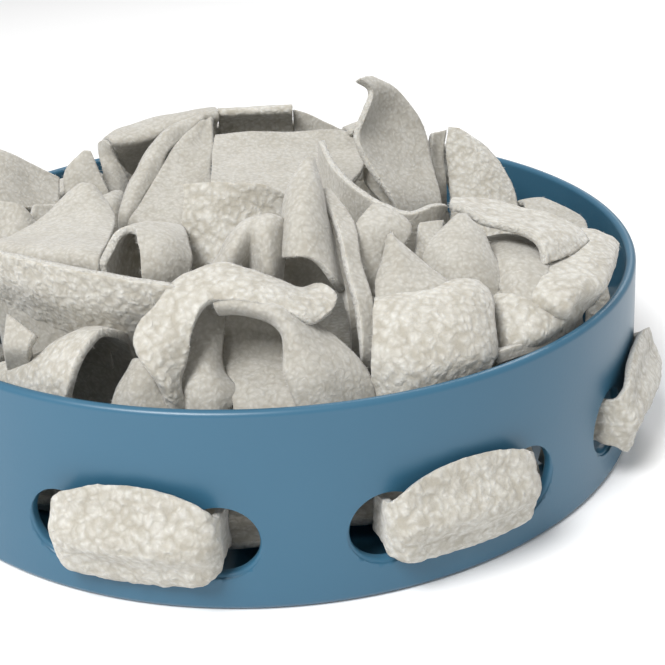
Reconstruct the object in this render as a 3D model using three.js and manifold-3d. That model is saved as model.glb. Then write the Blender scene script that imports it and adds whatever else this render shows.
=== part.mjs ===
// Snuffle bowl: a low round plastic bowl with 18 round holes through its wall, nine fleece
// loops threaded from hole to hole, and a heap of fleece strips. Millimetres, +Z up. The
// origin is at the middle of the bowl's underside, and the bowl's front is towards -Y.

import * as THREE from "three";
import { mergeVertices } from "three/addons/utils/BufferGeometryUtils.js";
import Module from "manifold-3d";

// Driving dimensions

const RIM_RADIUS = 140;
const FOOT_RADIUS = 144;
const BOWL_HEIGHT = 66;
const WALL = 3.6;
const FLOOR = 3.2;
const LIP_RADIUS = WALL / 2;
const FOOT_ROUND = 2.5;
const SEAM = 0.3;
const BOWL_SEGMENTS = 72;

const HOLE_COUNT = 18;
const HOLE_PITCH = 360 / HOLE_COUNT;
const FIRST_HOLE = -27.4;
const HOLE_RADIUS = 11.6;
const HOLE_HEIGHT = 24.2;
const HOLE_ROUND = 1;
const HOLE_SIDES = 16;

const FLEECE = 3;
const LOOP_COUNT = HOLE_COUNT / 2;
const LOOP_PITCH = 2 * HOLE_PITCH;
const FIRST_LOOP = FIRST_HOLE + HOLE_PITCH / 2;
const LOOP_LEAN = 86.5;

// How finely a strip is drawn: quads across, and the longest step and largest bend along it.
const STRIP_QUADS = 3;
const LOOP_QUADS = 4;
const LONGEST_STEP = 28;
const LARGEST_BEND = 22;
const PLEATS = 2;
const PULL = 1.5;
const NUDGE = 0.01;

const PLASTIC_COLOUR = 0x5b849b;
const FLEECE_COLOUR = 0xd9d4ca;

const wasm = await Module();
wasm.setup();

const degrees = (value) => (value * Math.PI) / 180;
const group = new THREE.Group();

// Joining and cutting

function solidOf(geometry) {
  const bare = geometry.index ? geometry : geometry.clone();
  bare.deleteAttribute("normal");
  bare.deleteAttribute("uv");
  const merged = mergeVertices(bare, 1e-4);
  return new wasm.Manifold(new wasm.Mesh({
    numProp: 3,
    vertProperties: new Float32Array(merged.attributes.position.array),
    triVerts: new Uint32Array(merged.index.array),
  }));
}

function geometryOf(solid) {
  const mesh = solid.getMesh();
  const geometry = new THREE.BufferGeometry();
  geometry.setAttribute("position", new THREE.BufferAttribute(mesh.vertProperties, 3));
  geometry.setIndex(new THREE.BufferAttribute(mesh.triVerts, 1));
  return geometry;
}

function addPiece(name, geometry, colour, roughness) {
  const material = new THREE.MeshStandardMaterial({ color: colour, roughness, metalness: 0 });
  const mesh = new THREE.Mesh(geometry, material);
  mesh.name = name;
  group.add(mesh);
  return mesh;
}

// Bowl

const wallRadius = (height) => FOOT_RADIUS + (RIM_RADIUS - FOOT_RADIUS) * (height / BOWL_HEIGHT);

// The wall's section, from its foot up the outside, over the lip and down the inside.
function wallProfile() {
  const lipHeight = BOWL_HEIGHT - LIP_RADIUS;
  const lipCentre = wallRadius(lipHeight) - LIP_RADIUS;
  const insideFoot = wallRadius(0) - WALL;
  const points = [
    new THREE.Vector2(insideFoot, 0),
    new THREE.Vector2(FOOT_RADIUS - FOOT_ROUND, 0),
    new THREE.Vector2(FOOT_RADIUS - 0.35 * FOOT_ROUND, 0.3 * FOOT_ROUND),
    new THREE.Vector2(wallRadius(FOOT_ROUND), FOOT_ROUND),
  ];
  for (const turn of [0, 45, 90, 135, 180]) {
    const angle = degrees(turn);
    points.push(new THREE.Vector2(
      lipCentre + LIP_RADIUS * Math.cos(angle),
      lipHeight + LIP_RADIUS * Math.sin(angle),
    ));
  }
  points.push(points[0].clone());
  return points;
}

// A plug for one hole, flared at the outside of the wall, lying along +X.
function holePlug() {
  const outside = wallRadius(HOLE_HEIGHT);
  const flare = HOLE_ROUND + 0.6;
  const points = [
    new THREE.Vector2(0, outside - 3 * WALL),
    new THREE.Vector2(HOLE_RADIUS, outside - 3 * WALL),
    new THREE.Vector2(HOLE_RADIUS, outside - flare),
    new THREE.Vector2(HOLE_RADIUS + 3 * WALL, outside - flare + 3.6 * WALL),
    new THREE.Vector2(0, outside - flare + 3.6 * WALL),
  ];
  const plug = new THREE.LatheGeometry(points, HOLE_SIDES);
  plug.rotateZ(-Math.PI / 2);
  return plug;
}

// The heading of a hole, in degrees from the front, positive towards +X.
const holeHeading = (index) => FIRST_HOLE + index * HOLE_PITCH;

function makeBowl() {
  const floorRadius = wallRadius(0) - WALL - SEAM;
  const floor = new THREE.CylinderGeometry(floorRadius, floorRadius, FLOOR, BOWL_SEGMENTS);
  floor.rotateX(Math.PI / 2);
  floor.translate(0, 0, FLOOR / 2);
  addPiece("bowl_floor", floor, PLASTIC_COLOUR, 0.35);

  const lathe = new THREE.LatheGeometry(wallProfile(), BOWL_SEGMENTS);
  lathe.rotateX(Math.PI / 2);
  let wall = solidOf(lathe);
  for (let index = 0; index < HOLE_COUNT; index += 1) {
    const plug = holePlug();
    plug.rotateZ(degrees(holeHeading(index) - 90));
    plug.translate(0, 0, HOLE_HEIGHT);
    wall = wall.subtract(solidOf(plug));
  }
  addPiece("bowl_wall", geometryOf(wall), PLASTIC_COLOUR, 0.35);
}

makeBowl();

// Fleece

// A smooth curve through the rows: the slope at a row is the mean of its two chords, the
// shorter span counting more, and a long span never pulls further than its short neighbour.
function smoothCurve(values, spans) {
  const chords = spans.map((span, i) => (values[i + 1] - values[i]) / span);
  const slopes = values.map((value, i) => {
    if (i === 0) return chords[0];
    if (i === values.length - 1) return chords[i - 1];
    const before = spans[i - 1];
    const after = spans[i];
    return (chords[i - 1] * after + chords[i] * before) / (before + after);
  });
  return (i, t) => {
    const before = i > 0 ? spans[i - 1] : spans[i];
    const after = i + 1 < spans.length ? spans[i + 1] : spans[i];
    const rise = values[i + 1] - values[i];
    const leaving = slopes[i] * Math.min(spans[i], PULL * before);
    const arriving = slopes[i + 1] * Math.min(spans[i], PULL * after);
    return values[i] + t * leaving + t * t * (3 * rise - 2 * leaving - arriving)
      + t * t * t * (leaving + arriving - 2 * rise);
  };
}

// The direction across a strip, from its turn in plan and its tip above level, in degrees.
function acrossOf(row) {
  const level = Math.cos(degrees(row.tip));
  return new THREE.Vector3(
    level * Math.cos(degrees(row.turn)),
    level * Math.sin(degrees(row.turn)),
    Math.sin(degrees(row.tip)),
  );
}

// One curve for a point that moves along the strip.
function pathOf(points, spans) {
  const parts = ["x", "y", "z"].map((axis) => smoothCurve(points.map((point) => point[axis]), spans));
  return (i, t) => new THREE.Vector3(parts[0](i, t), parts[1](i, t), parts[2](i, t));
}

// Where sections are needed: more of them where the strip bends or twists.
function sectionPlaces(rows, middle, spans) {
  const places = [];
  for (let i = 0; i < spans.length; i += 1) {
    const leaving = middle(i, NUDGE).sub(middle(i, 0));
    const arriving = middle(i, 1).sub(middle(i, 1 - NUDGE));
    const twist = acrossOf(rows[i]).angleTo(acrossOf(rows[i + 1]));
    const bend = leaving.angleTo(arriving) + twist / 2;
    const count = Math.ceil(Math.max(spans[i] / LONGEST_STEP, bend / degrees(LARGEST_BEND)));
    for (let step = 0; step < count; step += 1) places.push([i, step / count]);
  }
  places.push([spans.length - 1, 1]);
  return places;
}

// The face's normals on a grid of points, from the neighbours along and across.
function gridNormals(grid) {
  return grid.map((section, i) => section.map((point, j) => {
    const next = grid[Math.min(i + 1, grid.length - 1)][j];
    const last = grid[Math.max(i - 1, 0)][j];
    const right = section[Math.min(j + 1, section.length - 1)];
    const left = section[Math.max(j - 1, 0)];
    return next.clone().sub(last).cross(right.clone().sub(left)).normalize();
  }));
}

const shifted = (grid, normals, amount) => grid.map((section, i) => section.map(
  (point, j) => point.clone().addScaledVector(normals[i][j], amount(i, j)),
));

// The closed skin around two faces of a grid of points.
function skinOf(face, back) {
  const along = face.length;
  const across = face[0].length;
  const points = [...face.flat(), ...back.flat()];
  const offset = along * across;
  const triangles = [];
  const quad = (a, b, c, d) => triangles.push(a, b, c, a, c, d);
  for (let i = 0; i + 1 < along; i += 1) {
    for (let j = 0; j + 1 < across; j += 1) {
      const a = i * across + j;
      const b = a + across;
      quad(a, b, b + 1, a + 1);
      quad(offset + a, offset + a + 1, offset + b + 1, offset + b);
    }
    const left = i * across;
    const right = left + across - 1;
    quad(left, offset + left, offset + left + across, left + across);
    quad(right, right + across, offset + right + across, offset + right);
  }
  for (let j = 0; j + 1 < across; j += 1) {
    const end = (along - 1) * across + j;
    quad(j, j + 1, offset + j + 1, offset + j);
    quad(end, offset + end, offset + end + 1, end + 1);
  }
  const geometry = new THREE.BufferGeometry();
  const places = new Float32Array(points.flatMap((point) => [point.x, point.y, point.z]));
  geometry.setAttribute("position", new THREE.BufferAttribute(places, 3));
  geometry.setIndex(triangles);
  return geometry;
}

// A strip of fleece through a table of rows. The face is the side that bow and pleat raise.
function fleeceStrip(rows, quadsAcross) {
  const centres = rows.map((row) => new THREE.Vector3(row.x, row.y, row.z));
  const spans = centres.slice(1).map((centre, i) => centre.distanceTo(centres[i]));
  const edge = (side) => pathOf(
    rows.map((row, i) => centres[i].clone().addScaledVector(acrossOf(row), side * row.width / 2)),
    spans,
  );
  const left = edge(-1);
  const right = edge(1);
  const middle = pathOf(centres, spans);
  const bow = smoothCurve(rows.map((row) => row.bow), spans);
  const pleat = smoothCurve(rows.map((row) => row.pleat), spans);
  const places = sectionPlaces(rows, middle, spans);
  const sides = Array.from({ length: quadsAcross + 1 }, (_, j) => (2 * j) / quadsAcross - 1);
  const flat = places.map(([i, t]) => sides.map(
    (side) => left(i, t).lerp(right(i, t), (side + 1) / 2),
  ));
  const raised = shifted(flat, gridNormals(flat), (row, j) => {
    const [i, t] = places[row];
    const side = sides[j];
    const ridges = (1 - Math.cos(PLEATS * Math.PI * side)) / 2;
    return bow(i, t) * (1 - side * side) - pleat(i, t) * ridges;
  });
  const normals = gridNormals(raised);
  const half = () => FLEECE / 2;
  const minusHalf = () => -FLEECE / 2;
  return skinOf(shifted(raised, normals, half), shifted(raised, normals, minusHalf));
}

function rowsOf(columns, table) {
  const blank = { tip: 0, bow: 0, pleat: 0 };
  return table.map((values) => values.reduce(
    (row, value, i) => ({ ...row, [columns[i]]: value }),
    { ...blank },
  ));
}

// Loops

// Each loop is drawn as if the middle of its bridge were at the bowl's front. It comes out of
// the left hole, lies over the wall, and goes back in through the right hole.
const LOOP_COLUMNS = ["x", "y", "z", "width", "turn", "tip", "bow", "pleat"];
const HALF_LOOP = [
  [23.0, -130.0, 23.8, 15, 90, 90, 0, 0],
  [24.0, -138.2, 24.6, 16, 90, 90, 0, 0],
  [24.6, -143.0, 25.4, 18, 90, 88, 1, 0],
  [22.0, -145.4, 26.2, 24, 90, LOOP_LEAN, 3.5, 1],
  [12.0, -144.9, 26.6, 30, 90, LOOP_LEAN, 6.5, 2.6],
  [0.0, -144.6, 26.8, 32, 90, LOOP_LEAN, 7.5, 2.6],
];

// How the loops differ: length and width against the table, and lift. A row for each loop.
const LOOPS = [
  { length: 1.0, width: 1.0, lift: 0 },
  { length: 1.0, width: 0.94, lift: 0.6 },
  { length: 1.1, width: 1.0, lift: -0.8 },
  { length: 1.04, width: 0.95, lift: 0.5 },
  { length: 1.0, width: 1.0, lift: -0.4 },
  { length: 1.07, width: 1.03, lift: 0.6 },
  { length: 1.02, width: 0.97, lift: 0 },
  { length: 1.06, width: 1.0, lift: -0.5 },
  { length: 1.0, width: 0.95, lift: 0.4 },
];

function makeLoop(index) {
  const { length, width, lift } = LOOPS[index];
  const half = rowsOf(LOOP_COLUMNS, HALF_LOOP).map((row) => {
    const inHole = row.width < 2 * HOLE_RADIUS;
    return {
      ...row,
      x: row.x * length,
      z: inHole ? row.z : row.z + lift,
      width: inHole ? row.width : row.width * width,
    };
  });
  const mirrored = half.slice(0, -1).map((row) => ({ ...row, x: -row.x }));
  const loop = addPiece(
    `loop_${index + 1}`,
    fleeceStrip([...mirrored, ...half.toReversed()], LOOP_QUADS),
    FLEECE_COLOUR,
    0.95,
  );
  loop.rotation.z = degrees(FIRST_LOOP + index * LOOP_PITCH);
}

for (let index = 0; index < LOOP_COUNT; index += 1) makeLoop(index);

// Heap

// A row for each section or fold: the middle of the section, its width, the direction across
// it as turn and tip in degrees, and how far its middle bows out. A row that leaves out tip or
// bow has none. Each strip ends on the bowl's floor, where it is gathered.
const STRIP_COLUMNS = ["x", "y", "z", "width", "turn", "tip", "bow"];
const STRIPS = {
  front_left_arch: [
    [-42, -111, 78, 8, -75, -10],
    [-49, -111, 80, 9, -45, 2],
    [-58, -108, 76, 13, -35, 5, 2],
    [-67, -110, 70, 24, -28, 4],
    [-77, -103, 57, 30, -27],
    [-66, -99, 36, 18, -30],
    [-64, -96, 4, 14, -30],
  ],
  front_twist: [
    [12, -102, 78, 5, -80, -15],
    [16, -107, 82, 7, -85, -15],
    [11, -111, 85, 14, -91, -10, 2],
    [4, -110, 87, 16, -92, -5, 3],
    [-5, -107, 90, 18, -93, -10, 3],
    [-15, -105, 91, 21, -83, -6],
    [-21, -110, 90, 17, -54, -5],
    [-27, -115, 86, 17, -20, 0, 2],
    [-33, -120, 80, 21, -8, 1, 2],
    [-30, -127, 74, 11, -7, 3, 1],
    [-28, -128, 63, 5, -25],
    [-27, -121, 44, 8, -20],
    [-26, -117, 4, 8, -20],
  ],
  front_corner: [
    [-35, -113, 75, 4, -13, 3],
    [-35, -119, 72, 9, -15],
    [-40, -119, 60, 16, -13],
    [-38, -112, 4, 10, -13],
  ],
  front_roll: [
    [-14, -102, 78, 15, 71, -18],
    [-10, -103, 82, 18, 65, -19],
    [0, -108, 81, 18, 56, -22],
    [8, -121, 80, 11, 15, -10],
    [13, -129, 75, 19, 10, 3, 2],
    [20, -129, 62, 28, 10],
    [20, -119, 42, 20, 10],
    [20, -115, 4, 14, 10],
  ],
  front_inner: [
    [-6, -100, 74, 13, -10, -4, -2],
    [-6, -115, 73, 16, -5, -1],
    [-5, -126, 70, 16, -5, -1, 3],
    [-3, -129, 62, 14, -5, 0, 3],
    [-3, -119, 40, 13, -5],
    [-3, -115, 4, 12, -5],
  ],
  front_shaded: [
    [-19, -93, 79, 8, -6, 2],
    [-20, -112, 73, 10, -19, -4],
    [-20, -123, 70, 13, -17, -4, 2],
    [-19, -122, 60, 14, 8, 0, 2],
    [-18, -114, 42, 12, 8],
    [-17, -112, 4, 10, 8],
  ],
  front_square: [
    [48, -98, 81, 31, 20, -3],
    [47, -107, 83, 36, 18, -1, 3],
    [49, -116, 78, 39, 15, -4, 4],
    [48, -123, 72, 37, 16, -3, 4],
    [50, -117, 61, 33, 20, 0, 2],
    [47, -109, 42, 22, 19],
    [46, -106, 4, 16, 19],
  ],
  front_peak: [
    [39, -84, 93, 2, 5, -5],
    [42, -94, 87, 16, 17, -3, 2],
    [44, -96, 80, 24, 18, -3],
    [44, -91, 62, 14, 18],
    [44, -90, 4, 12, 18],
  ],
  left_band: [
    [-26, -98, 85, 4, -119, -54],
    [-35, -104, 87, 13, -88, -24],
    [-49, -107, 87, 25, -86, -22, 2],
    [-67, -99, 86, 33, -84, -22, 2],
    [-80, -82, 84, 32, -81, -20, 2],
    [-103, -56, 77, 19, -95, -33],
    [-104, -52, 50, 14, -60],
    [-102, -50, 4, 14, -60],
  ],
  left_tab: [
    [-76, -93, 75, 16, -51, -6],
    [-77, -98, 71, 10, -33, 3],
    [-79, -91, 54, 9, -20],
    [-80, -88, 4, 9, -20],
  ],
  left_leaf: [
    [-64, -21, 95, 2, 62, -17],
    [-67, -31, 87, 22, 27, 0, 3],
    [-71, -42, 82, 36, 13, -1, 4],
    [-72, -50, 74, 37, 6, -8],
    [-66, -62, 62, 32, 3, 0, 2],
    [-62, -74, 50, 22, 0],
    [-61, -75, 4, 14, 0],
  ],
  left_tunnel: [
    [-45, -84, 88, 11, 153, -1, 9],
    [-37, -79, 90, 22, 110, 15, 6],
    [-29, -76, 90, 22, 100, 15, 2],
    [-38, -57, 83, 22, 150, 10, 3],
    [-42, -40, 72, 18, 175, 0, 2],
    [-42, -27, 63, 26, 178, 0, 2],
    [-42, -18, 50, 18, 180],
    [-42, -17, 4, 12, 180],
  ],
  left_curl: [
    [-57, 12, 79, 7, -18, -31, 3],
    [-59, -2, 79, 10, 0, -28, 3],
    [-58, -5, 64, 6, 0],
    [-58, -6, 4, 6, 0],
  ],
  left_peak: [
    [-69, 28, 94, 2, 0, -3],
    [-71, 22, 88, 12, 0, -3, 2],
    [-69, 14, 81, 17, 5],
    [-69, 14, 4, 14, 5],
  ],
  left_side: [
    [-79, 8, 83, 18, -85, -26],
    [-88, 4, 88, 23, -85, -29],
    [-98, 0, 93, 28, -84, -31, 2],
    [-116, -5, 95, 34, -92, -27],
    [-114, -6, 4, 14, -80],
  ],
  left_tuck: [
    [-86, -17, 82, 13, 79, 38],
    [-76, -11, 80, 12, 93, 34],
    [-76, -11, 4, 12, 93],
  ],
  left_edge: [
    [-105, -24, 87, 17, 89, 47],
    [-93, -28, 83, 22, 91, 43],
    [-86, -28, 83, 17, 95, 44, 1],
    [-81, -26, 80, 5, 121, 28],
    [-81, -26, 4, 5, 121],
  ],
  back_arch: [
    [-20, 47, 104, 22, -86, 9],
    [-29, 44, 103, 24, -82, 5],
    [-43, 41, 101, 27, -77, 5],
    [-55, 38, 97, 26, -67, 3],
    [-62, 34, 96, 21, -71, 8],
    [-60, 28, 82, 20, -58, -16],
    [-62, 36, 4, 12, -58],
  ],
  back_ridge: [
    [-25, 29, 105, 7, -16, 14],
    [-32, 24, 100, 13, 0, -6],
    [-44, 14, 92, 6, 0, -18],
    [-50, 6, 82, 6, 0, -11],
    [-50, -2, 75, 3, 0, -18],
    [-50, -2, 4, 3, 0],
  ],
  back_slope: [
    [-22, 20, 104, 9, 26, 11],
    [-28, 12, 96, 17, 14, -1, 2],
    [-31, 3, 86, 24, 5, -1, 2],
    [-38, -8, 77, 20, 0, 4],
    [-36, -10, 4, 12, 0],
  ],
  back_panel: [
    [14, 24, 98, 59, 4, -6],
    [11, 17, 92, 58, -2, -6, 4],
    [9, 3, 82, 55, 2, -4, 4],
    [6, 0, 60, 28, 2],
    [6, 0, 4, 18, 0],
  ],
  back_roll: [
    [-17, 44, 100, 20, 88, 10, 3],
    [-4, 46, 99, 21, 89, 14, 3],
    [13, 48, 97, 20, 87, 11, 3],
    [16, 48, 78, 14, 87],
    [12, 48, 4, 12, 87],
  ],
  back_corner: [
    [20, 67, 98, 3, 4, -10],
    [29, 65, 93, 20, 4, -14],
    [38, 68, 83, 28, 4, -12],
    [31, 66, 66, 18, 0],
    [28, 50, 54, 15, 0, 0, 2],
    [28, 38, 44, 13, 0],
    [28, 36, 4, 12, 0],
  ],
  tall_curl: [
    [41, 16, 121, 10, 54, -7],
    [49, 19, 115, 15, 41, -8],
    [51, 16, 107, 28, 35, -10, -4],
    [51, 13, 100, 35, 32, -9, -4],
    [53, 8, 91, 33, 30, -12, -2],
    [59, -2, 77, 23, 31, -9],
    [62, -3, 60, 16, 25],
    [60, -4, 4, 14, 25],
  ],
  right_leaf: [
    [81, 44, 92, 4, 0, -8],
    [86, 40, 84, 18, 13, -6, 3],
    [90, 30, 73, 27, 9, -9, 4],
    [90, 18, 64, 29, 8, -6, 3],
    [88, 4, 56, 30, 4, 0, 2],
    [87, -6, 44, 20, 0],
    [87, -6, 4, 14, 0],
  ],
  right_fold: [
    [75, 44, 91, 7, 24, 1],
    [73, 37, 83, 8, 31, -5, -2],
    [73, 28, 75, 5, 26],
    [73, 28, 4, 5, 26],
  ],
  middle_slant: [
    [43, 24, 90, 2, 0, -3],
    [50, 12, 81, 19, 0],
    [52, 3, 72, 9, 0, -3],
    [38, -12, 68, 18, 0, 0, 2],
    [38, -28, 64, 18, 0, 0, 2],
    [38, -34, 4, 12, 0],
  ],
  middle_wave: [
    [22, -8, 93, 23, 0, 88],
    [25, -22, 86, 27, 0, 88],
    [29, -36, 84, 28, 0, 89],
    [41, -51, 81, 25, -92, 85],
    [49, -57, 83, 19, -100, 84],
    [56, -56, 86, 16, 0, 88],
    [62, -51, 86, 13, -105, 81],
    [62, -51, 4, 13, -105],
  ],
  middle_spike: [
    [16, -58, 112, 3, 2, -3],
    [14, -70, 108, 9, 12, -13, 3],
    [13, -82, 102, 13, 13, -7, 6],
    [12, -98, 94, 15, 0, -10, 9],
    [19, -97, 86, 6, -14, -40, 3],
    [17, -91, 64, 6, -20],
    [17, -87, 4, 6, 0],
  ],
  middle_spine: [
    [20, -65, 104, 3, 1, -3],
    [25, -82, 97, 7, 37, -9],
    [26, -95, 90, 6, 41, -8],
    [28, -106, 81, 6, 33, -11],
    [28, -113, 71, 4, 20, -13],
    [29, -103, 46, 7, 0],
    [29, -99, 4, 6, 0],
  ],
  middle_crease: [
    [20, -65, 100, 2, 32, 3],
    [21, -79, 93, 4, 42, -6],
    [24, -90, 82, 3, 43, -7],
    [25, -98, 73, 2, 21, 3],
    [28, -91, 52, 5, 0],
    [29, -89, 4, 5, 0],
  ],
  middle_panel: [
    [-6, -16, 80, 34, 8],
    [-8, -32, 93, 40, 8, 0, 2],
    [-10, -48, 101, 37, -18, -1],
    [-10, -67, 97, 33, -11, -1, 2],
    [-13, -80, 93, 24, -9, 0, 2],
    [-20, -86, 87, 8, 5, 5],
    [-19, -82, 62, 10, 3],
    [-19, -81, 4, 10, 3],
  ],
  middle_bend: [
    [2, -78, 101, 7, 4, 1],
    [-1, -87, 97, 13, -4, -2, 4],
    [-4, -91, 92, 19, 0, 1, 4],
    [-5, -88, 85, 14, -13, -3, 3],
    [-4, -90, 66, 12, -5],
    [-4, -89, 4, 10, 0],
  ],
  middle_point: [
    [36, -68, 99, 2, 6, -5],
    [37, -77, 94, 19, 14, -4, 2],
    [34, -84, 87, 13, 14, -3],
    [32, -88, 80, 7, 25, 2],
    [36, -86, 66, 10, 24],
    [37, -84, 4, 9, 24],
  ],
  middle_low: [
    [55, -61, 89, 10, 26, -6],
    [52, -74, 84, 10, 27, -3],
    [52, -68, 4, 8, 27],
  ],
  right_peak: [
    [66, -60, 88, 2, 21, -10],
    [64, -71, 86, 17, 13, -11, 3],
    [62, -82, 81, 29, 5, -13, 3],
    [63, -86, 75, 29, 13, -10],
    [64, -81, 60, 13, 13],
    [64, -80, 4, 12, 13],
  ],
  right_roof: [
    [93, -62, 84, 19, -135, -5],
    [88, -62, 89, 18, -136, -3],
    [77, -57, 91, 19, -126, -6],
    [68, -50, 93, 8, -139, -8],
    [68, -43, 74, 12, -150],
    [69, -34, 63, 26, -170],
    [70, -21, 56, 30, -178],
    [70, -14, 42, 18, -180],
    [70, -14, 4, 12, -180],
  ],
  right_back: [
    [98, 58, 44, 26, 26],
    [106, 42, 52, 24, 20, 0, 2],
    [112, 23, 65, 10, 10, -4],
    [117, 11, 62, 24, 5, -6],
    [117, -2, 57, 23, 10, -4],
    [112, -4, 4, 14, 9],
  ],
  right_panel: [
    [113, -51, 72, 42, 30, -20],
    [101, -72, 74, 43, 27, -17, 3],
    [94, -82, 72, 37, 26, -21, 3],
    [99, -77, 65, 24, 40, -20],
    [94, -68, 44, 14, 36],
    [92, -64, 4, 14, 36],
  ],
  right_pad: [
    [76, -90, 72, 18, 32, -10],
    [80, -97, 71, 27, 29, -13, 2],
    [79, -101, 70, 22, 35, -9, 2],
    [70, -90, 52, 14, 31],
    [69, -88, 4, 12, 31],
  ],
  right_rim: [
    [67, -112, 64, 4, 152, 83],
    [83, -103, 64, 4, 88, 75],
    [101, -84, 62, 4, 107, 67],
    [94, -80, 4, 5, 120],
  ],
  right_low: [
    [104, -14, 62, 28, 20],
    [97, -40, 70, 24, 20, 0, 2],
    [86, -54, 76, 13, 14, -17],
    [82, -73, 70, 10, 33, -7],
    [82, -74, 4, 8, 34],
  ],
  rear_1: [
    [-40, 60, 88, 46, 168, 0, 3],
    [-46, 82, 82, 48, 165, 0, 4],
    [-52, 103, 72, 42, 160, 0, 3],
    [-54, 112, 54, 28, 158],
    [-52, 108, 4, 16, 158],
  ],
  rear_2: [
    [-2, 64, 90, 36, 180, 0, 3],
    [-2, 88, 84, 46, 183, 0, 4],
    [-2, 112, 72, 42, 180, 0, 3],
    [-2, 121, 54, 26, 180],
    [-2, 118, 4, 16, 180],
  ],
  rear_3: [
    [44, 82, 80, 34, 192, 0, 3],
    [51, 94, 75, 48, 198, 0, 4],
    [57, 102, 65, 44, 204, 0, 3],
    [58, 105, 48, 24, 204],
    [55, 101, 4, 16, 204],
  ],
  rear_4: [
    [70, 50, 80, 26, 222, 0, 3],
    [83, 63, 74, 36, 224, 0, 4],
    [93, 74, 63, 28, 223, 0, 3],
    [94, 76, 48, 18, 222],
    [92, 76, 4, 16, 222],
  ],
  side_1: [
    [-92, 26, 76, 26, -95, 0, 2],
    [-108, 30, 73, 36, -102, 0, 3],
    [-122, 35, 62, 36, -106, 0, 3],
    [-125, 37, 46, 22, -107],
    [-121, 36, 4, 14, -107],
  ],
  side_2: [
    [-74, 44, 74, 30, -128, 0, 3],
    [-88, 60, 69, 40, -128, 0, 3],
    [-100, 74, 58, 36, -130, 0, 3],
    [-103, 77, 44, 22, -132],
    [-99, 74, 4, 14, -132],
  ],
  crest: [
    [51, 30, 96, 30, 180, 0, 3],
    [51, 46, 93, 32, 180, 0, 3],
    [51, 60, 80, 28, 185, 0, 3],
    [49, 62, 60, 16, 185],
    [49, 62, 4, 14, 185],
  ],
};

for (const [name, table] of Object.entries(STRIPS)) {
  const strip = fleeceStrip(rowsOf(STRIP_COLUMNS, table), STRIP_QUADS);
  addPiece(`strip_${name}`, strip, FLEECE_COLOUR, 0.95);
}

export default group;
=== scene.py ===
# A snuffle bowl: a blue plastic bowl, nine fleece loops through its holes, a heap of fleece strips.

import math
import random

import bmesh
import bpy
from mathutils import Matrix, Vector, noise


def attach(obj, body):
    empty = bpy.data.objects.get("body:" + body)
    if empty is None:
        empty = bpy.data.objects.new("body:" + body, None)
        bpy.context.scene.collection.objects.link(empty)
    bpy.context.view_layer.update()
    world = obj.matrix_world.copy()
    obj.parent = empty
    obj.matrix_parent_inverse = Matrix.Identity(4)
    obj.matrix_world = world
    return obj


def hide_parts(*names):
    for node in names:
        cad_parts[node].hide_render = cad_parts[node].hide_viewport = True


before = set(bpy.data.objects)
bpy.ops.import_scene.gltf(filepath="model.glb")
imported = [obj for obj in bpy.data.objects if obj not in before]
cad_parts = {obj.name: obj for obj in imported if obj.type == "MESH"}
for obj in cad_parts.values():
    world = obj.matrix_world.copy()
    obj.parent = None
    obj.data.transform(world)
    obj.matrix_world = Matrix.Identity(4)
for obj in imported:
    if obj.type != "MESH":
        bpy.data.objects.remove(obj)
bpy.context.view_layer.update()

MM = 0.001

# The bowl, in millimetres.
RIM_RADIUS = 140
FOOT_RADIUS = 144
BOWL_HEIGHT = 66
WALL = 3.6
FLOOR = 3.2
LIP_RADIUS = 1.8
FOOT_ROUND = 2.5
FOOT_TAPER = 0.1
INSIDE_ROUND = 5
HOLE_COUNT = 18
HOLE_PITCH = 360 / HOLE_COUNT
FIRST_HOLE = -27.4
HOLE_RADIUS = 11.6
HOLE_HEIGHT = 24.2
HOLE_ROUND = 1.2
BOWL_STEPS = 288
HOLE_STEPS = 48
PLUG_REACH = 4

# The fleece. Its lengths are in millimetres.
FLEECE = 2.5
STEP = 2.0
ROOT_STEP = 12
LOOP_COUNT = 9
LOOP_PITCH = 2 * HOLE_PITCH
FIRST_LOOP = FIRST_HOLE + HOLE_PITCH / 2
LOOP_LEAN = 86.5
LOOP_STEP = 1.9
LOOP_CELLS = 16
LOOP_RUFFLE = 0.8
PLEATS = 2
EDGE_CRISPNESS = 0.65
SMOOTH_LEVELS = 1
CURL_SIZE = 3.0
NAP_SIZE = 4.5
CURL_HEIGHT = 0.5
LOOP_CURL_HEIGHT = 1.1
NAP_HEIGHT = 0.2
RUFFLE = 0.5
PILE_MIDDLE = 0.5
FIBRE_RADIUS = 0.09
FIBRE_LENGTH = (0.6, 1.5)
FIBRE_GAP = 0.8
FIBRE_ROOT = 0.1
FIBRE_SPLAY = 0.7
FIBRE_STRAY = 0.4
FIBRE_SLANT = 0.8
FRINGE_LOWEST = 45
SEED = 7
UNDER_COUNT = 7
UNDER_PITCH = 36
UNDER_WIDTH = 34
UNDER_REACH = 130
UNDER_HEIGHT = 10
UNDER_WAVE = 2.5
UNDER_STEP = 6
UNDER_CELLS = 6

# A curve leaves a point by at most this many lengths of its shorter neighbour.
PULL = 1.5

# The ruffle of plain fleece: how fast it varies, and how strong its finer part is.
SLOW_RUFFLE = 38.0
QUICK_RUFFLE = 90.0
QUICK_SHARE = 0.45
QUICK_START = (7.1, 3.3, 5.7)

# The wool's pattern: the scales of its noises, and how strongly each part shades it. The colour darkens
# at random with the fibres and the mottle, and in the gaps between tufts as painted shade.
BEND_SCALE = 260.0
BEND = 0.0018
MOTTLE_SCALE = 95.0
TUFT_SMOOTHNESS = 0.6
FIBRE_SHADE = 0.55
MOTTLE_SHADE = 0.9
SHADE_RANGE = (0.7, 1.5)

# The plastic.
LIGHT_BLUE = (0.039, 0.127, 0.204, 1)
DEEP_BLUE = (0.032, 0.114, 0.187, 1)
SATIN_RANGE = (0.26, 0.42)
PATCH_SCALE = 22.0
GRAIN_SCALE = 900.0
GRAIN_DEPTH = 0.00008

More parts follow.
